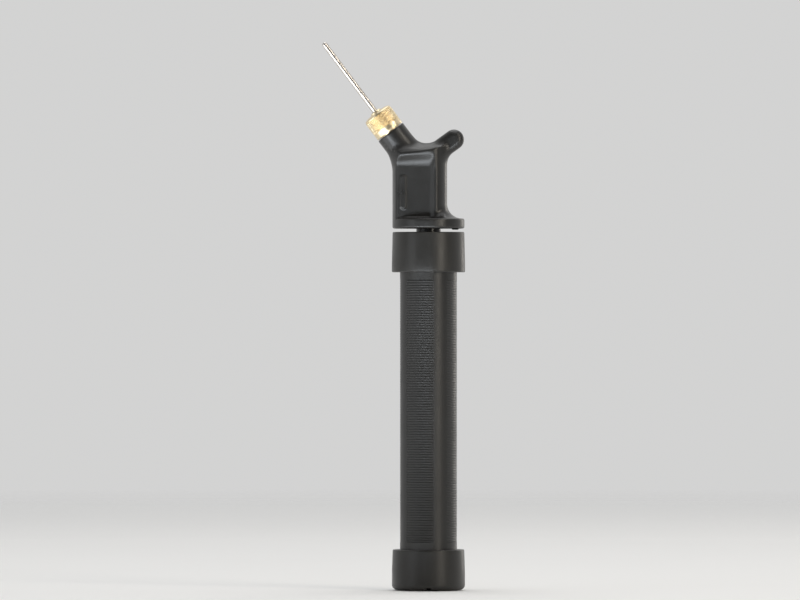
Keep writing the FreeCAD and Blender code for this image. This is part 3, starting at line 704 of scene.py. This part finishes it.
def passage_distance(x, y, z, along, side):
    """The distance to what is hollow inside: the rod's socket, the air passage and the spigot's seat."""
    from_axis = np.hypot(x, y)
    from_nozzle = np.hypot(side, y)
    socket = np.maximum(from_axis - ROD_RADIUS - SOCKET_GAP, z - rod_high.z - SOCKET_HEADROOM)
    riser = np.maximum(from_axis - PASSAGE_RADIUS, z - NOZZLE_START[2])
    outlet = np.maximum(from_nozzle - PASSAGE_RADIUS, -along)
    seat = np.maximum(from_nozzle - SPIGOT_ROOT, NOZZLE_LENGTH - SPIGOT_DEPTH - along)
    return np.minimum(np.minimum(socket, riser), np.minimum(outlet, seat))


def column_distance(x, away, z, from_axis):
    """The distance to the column: round at the right, flat in front and behind, with a lip along its top."""
    crown_centre = COLUMN_RIGHT - CROWN_RADIUS
    crown = np.hypot(np.maximum(x - crown_centre, 0), away) - CROWN_RADIUS
    outline = np.maximum(from_axis - FLANGE_RADIUS, crown)
    section = round_common(outline, away - COLUMN_HALF_DEPTH, COLUMN_EDGE)
    # the top climbs back from the lip, then runs under the saddle
    climb = np.minimum(LIP_CLIMB * (COLUMN_HALF_DEPTH - away), LIP_RISE)
    top = z - (LIP + (x - SLOPE_LEFT) * SLOPE) - climb
    return round_common(section, top / math.hypot(1, LIP_CLIMB), LIP_EDGE)


def nozzle_distance(y, along, side):
    """The distance to the nozzle's spigot, which is wider towards its root."""
    flare = NOZZLE_FLARE * blend_step(NOZZLE_LENGTH - along, 5.0, 16.0)
    nozzle = round_common(np.hypot(side, y) - NOZZLE_RADIUS - flare, along - NOZZLE_LENGTH, NOZZLE_EDGE)
    return np.maximum(nozzle, NOZZLE_FOOT - along)


def horn_distance(x, away, z):
    """The distance to the horn. It has a flat front, so its section is a rounded square."""
    horn_x = x - HORN_TIP[0]
    horn_z = z - HORN_TIP[2]
    out = horn_x * math.cos(HORN_ANGLE) + horn_z * math.sin(HORN_ANGLE)
    across = horn_z * math.cos(HORN_ANGLE) - horn_x * math.sin(HORN_ANGLE)
    past_ends = np.maximum(out, np.maximum(-HORN_LENGTH - out, 0))
    return round_common(np.hypot(past_ends, across) - HORN_RADIUS, away - HORN_HALF_DEPTH, HORN_EDGE)


def rib_distance(x, away, z):
    """The distance to the raised lozenge on the recess's floor."""
    past_ends = np.maximum(np.abs(z - RIB_CENTRE[1]) - (RIB_HALF_LENGTH - RIB_HALF_WIDTH), 0)
    rib = np.hypot(x - RIB_CENTRE[0], past_ends) - RIB_HALF_WIDTH
    rib = round_common(rib, away - PANEL_FLOOR - RIB_RISE, RIB_EDGE)
    return np.maximum(rib, PANEL_FLOOR - 2 - away)


def handle_distance(x, y, z):
    """The distance to the handle's moulding, in millimetres."""
    away = np.abs(y)
    from_axis = np.hypot(x, y)
    along = -(x * math.sin(NOZZLE_TILT)) + (z - NOZZLE_START[2]) * math.cos(NOZZLE_TILT)
    side = x * math.cos(NOZZLE_TILT) + (z - NOZZLE_START[2]) * math.sin(NOZZLE_TILT)

    head = round_union(nozzle_distance(y, along, side), horn_distance(x, away, z), SADDLE_RADIUS)
    upper = round_union(head, column_distance(x, away, z, from_axis), NECK_RADIUS)

    # the recess's edge is crisp along the top and softer elsewhere, and softest at the lower right
    near_top = blend_step(z, FLANGE_TOP + 19, FLANGE_TOP + 23)
    at_right = blend_step(x, -3.0, 0.5)
    edge = PANEL_EDGE - near_top * PANEL_EDGE_CRISPER + (1 - near_top) * PANEL_EDGE_SOFTER * at_right
    upper = round_common(upper, -recess_distance(x, away, z), edge)
    upper = round_union(upper, rib_distance(x, away, z), RIB_FILLET)

    # the flange and the column run on downwards, and the flange's underside cuts them both off
    flange = round_common(from_axis - FLANGE_RADIUS, z - FLANGE_TOP, FLANGE_ROUND)
    widening = FOOT_RADIUS - FOOT_LEFT_RADIUS
    foot = FOOT_LEFT_RADIUS * blend_step(x, -13.2, -8.0) + widening * blend_step(x, 1.0, 7.0)
    body = round_common(round_union(upper, flange, foot), FLANGE_BOTTOM - z, FLANGE_ROUND)

    lug = np.maximum(np.abs(x - LUG_CENTRE), away) - LUG_HALF_WIDTH
    lug = round_common(lug, FLANGE_BOTTOM - LUG_HEIGHT - z, LUG_EDGE)
    body = np.minimum(body, np.maximum(lug, z - FLANGE_BOTTOM - 1))
    return np.maximum(body, -passage_distance(x, y, z, along, side))


def make_handle(material):
    """The handle's moulding with its flange, recessed grip, saddle, horn and nozzle."""
    reach = FLANGE_RADIUS + SAMPLE_MARGIN
    low = (-21.5, -reach, FLANGE_BOTTOM - 1.1)
    high = (reach, reach, FLANGE_TOP + 39.5)
    handle = solid_from_distance("handle_moulding", handle_distance, low, high, GRID, math.radians(50))
    add_piece(handle, "handle", "handle_plastic", material, "handle_body")


# ------------------------------------------------------------------------------------------ nut and needle

NUT_BOTTOM = 0.25
NUT_TOP = 9.5
NUT_RADIUS = 6.05
NUT_PLAIN = 2.7
NUT_EDGE = 0.35
NUT_SHOULDER = 4.5
NUT_DOME = 1.5
# how far the plain band and the collar over the knurling stand back from the knurling's crests
NUT_SKIRT_INSET = 0.02
NUT_COLLAR_INSET = 0.08
NUT_COLLAR_HEIGHT = 0.75
# the height of the slopes from the knurling's grooves out to the plain band and the collar
NUT_STEP = 0.12
KNURL_LENGTH = 5.1
KNURL_STEPS = 80
# above one, so each diamond has a flat top
KNURL_FLAT = 1.6
# the height over which the diamonds fade at the band's ends
KNURL_FADE = 0.2
KNURL_COUNT = 56
KNURL_DEPTH = 0.32
KNURL_LEAN = 0.577
NUT_BORE = 4.36
NUT_ROOF = 7.0
BOSS_RADIUS = 2.3
BOSS_TOP = 10.2
# the boss's flange, which the nut's roof presses on the washer
FLANGE_LOW = 5.7
NEEDLE_FLANGE = 3.7
NEEDLE_RADIUS = 1.05
NEEDLE_TIP_ROUND = 0.945
NEEDLE_BORE = 0.6
NEEDLE_BORE_INSET = 2.0
SHANK_RADIUS = 0.85
NEEDLE_END = 44.297
NEEDLE_PORT = 0.45
NEEDLE_PORT_INSET = 3.5


def make_nut(material):
    """The union nut: a plain band, a band of diamond knurling and a domed top."""
    knurl_low = NUT_BOTTOM + NUT_PLAIN
    knurl_high = knurl_low + KNURL_LENGTH
    columns = KNURL_COUNT * 10
    angles = np.arange(columns) * 2 * math.pi / columns
    pitch = 2 * math.pi * NUT_RADIUS / KNURL_COUNT
    skirt = NUT_RADIUS - NUT_SKIRT_INSET
    lower = rounded(
        [
            (NUT_BORE, NUT_BOTTOM, 0.0),
            (skirt, NUT_BOTTOM, NUT_EDGE),
            (skirt, knurl_low - NUT_STEP, 0.0),
        ],
        closed=False,
    )
    groove = NUT_RADIUS - KNURL_DEPTH
    band = [(NUT_RADIUS, knurl_low + KNURL_LENGTH * step / KNURL_STEPS) for step in range(1, KNURL_STEPS)]
    round_boss = BOSS_RADIUS + 2 * SKIN_GAP
    upper = rounded(
        [
            (NUT_RADIUS - NUT_COLLAR_INSET, knurl_high + NUT_STEP, 0.0),
            (NUT_RADIUS - 0.15, knurl_high + NUT_COLLAR_HEIGHT, 0.6),
            (NUT_SHOULDER, NUT_TOP - 0.1, NUT_DOME),
            (round_boss, NUT_TOP + 0.1, 0.1),
            (round_boss, NUT_ROOF, 0.0),
            (NUT_BORE, NUT_ROOF, 0.0),
        ],
        closed=False,
    )
    profile = np.concatenate([lower, [(groove, knurl_low)], band, [(groove, knurl_high)], upper])
    radius = np.repeat(profile[:, :1], columns, axis=1)
    height = np.repeat(profile[:, 1:], columns, axis=1)
    knurled = profile[:, 0] == NUT_RADIUS
    turns = angles[None, :] * KNURL_COUNT / (2 * math.pi)
    rise = (height - knurl_low) / pitch * KNURL_LEAN
    first = np.abs((turns + rise) % 1 - 0.5) * 2
    second = np.abs((turns - rise) % 1 - 0.5) * 2
    diamond = np.clip(np.minimum(first, second) * KNURL_FLAT, 0, 1)
    ends = np.clip(np.minimum(height - knurl_low, knurl_high - height) / KNURL_FADE, 0, 1)
    cut = KNURL_DEPTH * (1 - diamond * ends)
    radius = np.where(knurled[:, None], radius - cut, radius)
    nut = grid_ring("union_nut", polar(radius, angles, height), on_nozzle())
    add_piece(nut, "union_nut", "nut_brass", material, "knurled_nut")


def needle_distance(x, y, z):
    """The distance to the needle, drawn upright: a tube with a closed round end and a hole in its side."""
    from_axis = np.hypot(x, y)
    shaft = round_common(from_axis - NEEDLE_RADIUS, z - NEEDLE_END, NEEDLE_TIP_ROUND)
    shaft = np.maximum(shaft, BOSS_TOP - z)
    shank = np.maximum(from_axis - SHANK_RADIUS, np.maximum(FLANGE_LOW - z, z - BOSS_TOP - 0.5))
    bore = np.maximum(from_axis - NEEDLE_BORE, z - NEEDLE_END + NEEDLE_BORE_INSET)
    port = np.maximum(np.hypot(y, z - NEEDLE_END + NEEDLE_PORT_INSET) - NEEDLE_PORT, -x)
    return np.maximum(np.minimum(shaft, shank), -np.minimum(bore, port))


def make_needle(brass_material, steel_material):
    """The brass boss that the nut holds, and the needle's tube with its rounded end and side hole."""
    shank_hole = SHANK_RADIUS + SKIN_GAP
    outline = rounded(
        [
            (shank_hole, FLANGE_LOW, 0.0),
            (NEEDLE_FLANGE, FLANGE_LOW, 0.15),
            (NEEDLE_FLANGE, NUT_ROOF, 0.15),
            (BOSS_RADIUS, NUT_ROOF, 0.1),
            (BOSS_RADIUS, BOSS_TOP, 0.45),
            (shank_hole, BOSS_TOP, 0.0),
        ],
        closed=True,
    )
    boss = lathe("needle_boss", outline, 96, on_nozzle())
    add_piece(boss, "needle", "nut_brass", brass_material, "needle_base")
    low = (-1.4, -1.4, FLANGE_LOW - 0.3)
    high = (1.4, 1.4, NEEDLE_END + 0.3)
    crease = math.radians(60)
    tube = solid_from_distance("needle_shaft", needle_distance, low, high, FINE_GRID, crease, on_nozzle())
    add_piece(tube, "needle", "needle_steel", steel_material, "needle_tube")


# -------------------------------------------------------------------------------------- the valve's spring

SPRING_WIRE = 0.2
SPRING_TURNS = 4
SPRING_SIDES = 12
SPRING_STEPS = 192


def make_spring(material):
    """The delivery ball's spring, a coil of wire in the place of the CAD node."""
    low, high = box_mm("delivery_spring")
    coil = high.x - SPRING_WIRE
    rise = high.z - low.z - 2 * SPRING_WIRE
    share = np.arange(SPRING_STEPS + 1) / SPRING_STEPS
    turn = share * SPRING_TURNS * 2 * math.pi
    still = np.zeros_like(turn)
    outward = np.stack([np.cos(turn), np.sin(turn), still], axis=-1)
    along = np.stack([-coil * np.sin(turn), coil * np.cos(turn), still], axis=-1)
    along[:, 2] = rise / (SPRING_TURNS * 2 * math.pi)
    along /= np.linalg.norm(along, axis=1)[:, None]
    upward = np.cross(outward, along)
    centre = outward * coil
    centre[:, 2] = low.z + SPRING_WIRE + share * rise
    around = np.arange(SPRING_SIDES)[None, :, None] * 2 * math.pi / SPRING_SIDES
    rings = np.cos(around) * outward[:, None] + np.sin(around) * upward[:, None]
    vertices = centre[:, None] + rings * SPRING_WIRE
    index = np.arange(vertices.shape[0] * SPRING_SIDES).reshape(-1, SPRING_SIDES)
    beside = np.roll(index, -1, axis=1)
    sides = np.stack([index[:-1], index[1:], beside[1:], beside[:-1]], axis=-1).reshape(-1, 4).tolist()
    ends = [index[0].tolist(), index[-1][::-1].tolist()]
    spring = new_object("valve_spring", vertices.reshape(-1, 3), sides + ends, math.radians(50))
    spring.data.materials.append(material)
    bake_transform(spring)
    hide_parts("delivery_spring")


# ---------------------------------------------------------------------------------------- stage and camera

# the floor's radius is in metres, and its drop in millimetres keeps it clear of the foot
FLOOR_RADIUS = 1.8
FLOOR_SIDES = 64
FLOOR_DROP = 0.2
# the surround's brightness as it is seen, and as it lights the pump from the front and from behind
SURROUND_TONE = 0.65
FRONT_GLOW = 0.10
BACK_GLOW = 0.70
# the stretch of a direction's Y over which the front's glow turns into the back's
GLOW_FRONT = -0.5
GLOW_BACK = 0.25
SURROUND_COLOUR = (1.0, 1.0, 0.995)
# places in metres: the pump's middle and its grip
MIDDLE = (0.0, 0.0, 0.11)
GRIP = (0.0, 0.0, 0.165)
WHITE = (1.0, 1.0, 1.0)
COOL = (0.94, 0.97, 1.0)
BLUER = (0.88, 0.94, 1.0)
# each lamp's name, place, aim, width and height in metres, power in watts, and colour
LAMPS = (
    ("key_right", (1.18, -1.38, 0.25), MIDDLE, (0.32, 1.3), 8.5, (1.0, 0.92, 0.80)),
    ("key_high", (0.60, -0.45, 0.75), GRIP, (0.14, 0.14), 1.2, (1.0, 0.93, 0.82)),
    ("rim_right", (1.02, 1.22, 0.25), MIDDLE, (0.24, 1.2), 3.0, (1.0, 0.94, 0.84)),
    ("fill_left", (-0.85, -0.60, 0.25), MIDDLE, (0.5, 0.9), 1.4, COOL),
    ("low_front", (-0.10, -0.40, 0.004), (-0.10, -0.40, 1.0), (0.44, 0.26), 3.6, BLUER),
    ("low_left", (-0.42, -0.20, 0.004), (-0.42, -0.20, 1.0), (0.40, 0.40), 1.0, COOL),
    ("top", (0.05, -0.35, 1.0), MIDDLE, (0.5, 0.5), 1.0, WHITE),
    ("floor_wash", (0.0, 0.5, 1.6), (0.0, 0.3, 0.0), (1.2, 1.2), 9.0, WHITE),
)
# the camera's place in metres, and its lens and sensor in millimetres
CAMERA_PLACE = (-0.0113, -3.3, 0.115)
LENS = 374.1
SENSOR_WIDTH = 36.0


def area_light(name, place, aim, size, power, colour):
    """A rectangular lamp that the camera doesn't see."""
    light = bpy.data.lights.new(name, "AREA")
    light.shape = "RECTANGLE"
    light.size, light.size_y = size
    light.energy = power
    light.color = colour
    lamp = bpy.data.objects.new(name, light)
    lamp.location = place
    lamp.rotation_euler = (Vector(aim) - Vector(place)).to_track_quat("-Z", "Y").to_euler()
    lamp.visible_camera = False
    bpy.context.scene.collection.objects.link(lamp)


def floor_paper():
    """Pale paper that fades out far from the pump, and that can't be seen from below."""
    paper = Nodes("studio_paper")
    tone = paper.noise(3.0, 2.0)
    paper.set(Base_Color=paper.mix(tone, (0.84, 0.84, 0.835), (0.87, 0.87, 0.865)))
    paper.set(Roughness=0.9)
    distance = paper.vectors("LENGTH", {0: paper.place()}, "Value")
    near = paper.spread(distance, FLOOR_RADIUS * 0.4, FLOOR_RADIUS * 0.98, 1.0, 0.0)
    from_below = paper.add("ShaderNodeNewGeometry").outputs["Backfacing"]
    shown = paper.maths("MULTIPLY", near, paper.maths("SUBTRACT", 1.0, from_below))
    clear = paper.add("ShaderNodeBsdfTransparent").outputs["BSDF"]
    mixed = paper.add("ShaderNodeMixShader", {0: shown, 1: clear, 2: paper.shader.outputs["BSDF"]})
    paper.tree.links.new(mixed.outputs["Shader"], paper.tree.nodes["Material Output"].inputs["Surface"])
    return paper.material


def make_world():
    """A pale surround, which lights the pump dimly from the front and more from behind."""
    world = bpy.data.worlds.new("studio")
    world.use_nodes = True
    tree = world.node_tree
    background = tree.nodes["Background"]
    background.inputs["Color"].default_value = (*SURROUND_COLOUR, 1.0)
    split = tree.nodes.new("ShaderNodeSeparateXYZ")
    tree.links.new(tree.nodes.new("ShaderNodeTexCoord").outputs["Generated"], split.inputs["Vector"])
    behind = tree.nodes.new("ShaderNodeMapRange")
    tree.links.new(split.outputs["Y"], behind.inputs["Value"])
    behind.inputs["From Min"].default_value = GLOW_FRONT
    behind.inputs["From Max"].default_value = GLOW_BACK
    behind.inputs["To Min"].default_value = FRONT_GLOW
    behind.inputs["To Max"].default_value = BACK_GLOW
    strength = tree.nodes.new("ShaderNodeMix")
    tree.links.new(tree.nodes.new("ShaderNodeLightPath").outputs["Is Camera Ray"], strength.inputs["Factor"])
    tree.links.new(behind.outputs["Result"], strength.inputs["A"])
    strength.inputs["B"].default_value = SURROUND_TONE
    tree.links.new(strength.outputs["Result"], background.inputs["Strength"])
    bpy.context.scene.world = world


def make_stage():
    """A round floor, the surround, and soft light from both sides, from above and from low in front."""
    angles = np.arange(FLOOR_SIDES) * 2 * math.pi / FLOOR_SIDES
    rim = polar(FLOOR_RADIUS / MM, angles, -FLOOR_DROP)
    floor = new_object("studio_floor", rim, [tuple(range(FLOOR_SIDES))])
    floor.data.materials.append(floor_paper())
    make_world()
    for lamp in LAMPS:
        area_light(*lamp)
    bpy.context.scene.view_settings.view_transform = "Standard"


def make_camera():
    """Straight at the front, about level with the middle of the pump."""
    data = bpy.data.cameras.new("camera")
    data.sensor_width = SENSOR_WIDTH
    data.lens = LENS
    camera = bpy.data.objects.new("camera", data)
    camera.location = CAMERA_PLACE
    camera.rotation_euler = (math.pi / 2, 0.0, 0.0)
    bpy.context.scene.collection.objects.link(camera)
    bpy.context.scene.camera = camera


# --------------------------------------------------------------------------------------------------- scene


def paint_cad_nodes(materials):
    """Gives every CAD node the material of its slot."""
    slots = {part["node"]: part["material_slot"] for part in frame["record"]["subparts"]}
    for name, node in frame["nodes"].items():
        node.data.materials.clear()
        node.data.materials.append(materials[slots[name]])


materials = make_materials()
make_camera()
make_stage()
paint_cad_nodes(materials)
make_barrel(materials["barrel_plastic"])
make_cap(materials["cap_plastic"])
make_collar(materials["cap_plastic"])
make_handle(materials["handle_plastic"])
make_nut(materials["nut_brass"])
make_needle(materials["nut_brass"], materials["needle_steel"])
make_spring(materials["bright_steel"])
